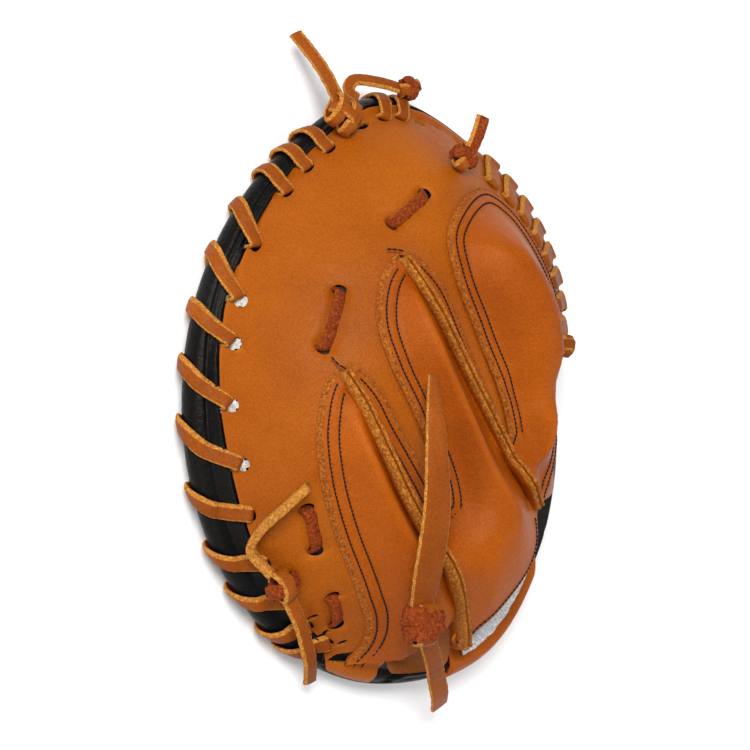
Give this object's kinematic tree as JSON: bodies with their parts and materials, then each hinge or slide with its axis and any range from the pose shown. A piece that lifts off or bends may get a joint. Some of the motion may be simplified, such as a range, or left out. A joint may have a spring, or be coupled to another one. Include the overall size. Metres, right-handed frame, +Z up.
{
  "type": "softball catcher mitt",
  "caption": "Round padded leather catcher mitt lying palm down, with a black rim roll, tan back, puffed finger and thumb stalls, an open wrist and whipped rim lacing with free ends.",
  "frame": {"origin": "middle of the rim's box in plan, on the ground that the palm side rests on; the free lace ends are left out of the box", "axes": "+Y from the heel to the web, +X to the thumb side, +Z up out of the back of the mitt"},
  "size_m": [0.2429, 0.359, 0.1091],
  "materials": {
    "pad_black": "smooth black grain leather",
    "panel_tan": "smooth orange-tan grain leather",
    "raw_edge": "raw cut leather edge, matt",
    "hem_tan": "turned tan leather edge",
    "lining_tan": "soft inner leather, matt",
    "lace_tan": "rawhide lace, grain face and suede back",
    "label_white": "bare white woven label"
  },
  "bodies": {
    "root": {"palm_pad": "pad_black", "back_panel": "panel_tan", "hand_panel_little": "panel_tan", "hand_panel_middle": "panel_tan", "hand_panel_thumb": "panel_tan", "seam_welt_little": "raw_edge", "seam_welt_middle": "raw_edge", "wrist_hem": "hem_tan", "heel_band": "hem_tan", "heel_lining": "lining_tan", "wrist_label": "label_white", "rim_lace_finger": "lace_tan", "rim_lace_thumb": "lace_tan", "rim_lace_top": "lace_tan", "pocket_lace_web": "lace_tan", "pocket_lace_finger": "lace_tan", "pocket_lace_little": "lace_tan", "pocket_lace_heel": "lace_tan", "top_knot": "lace_tan", "top_loop_knot": "lace_tan", "web_knot": "lace_tan", "wrist_knot": "lace_tan", "finger_knot": "lace_tan", "thumb_knot": "lace_tan", "top_strand": "lace_tan", "top_tail": "lace_tan", "wrist_tail_long": "lace_tan", "wrist_tail_short": "lace_tan", "finger_tail_upper": "lace_tan", "finger_tail_lower": "lace_tan"}
  },
  "joints": []
}
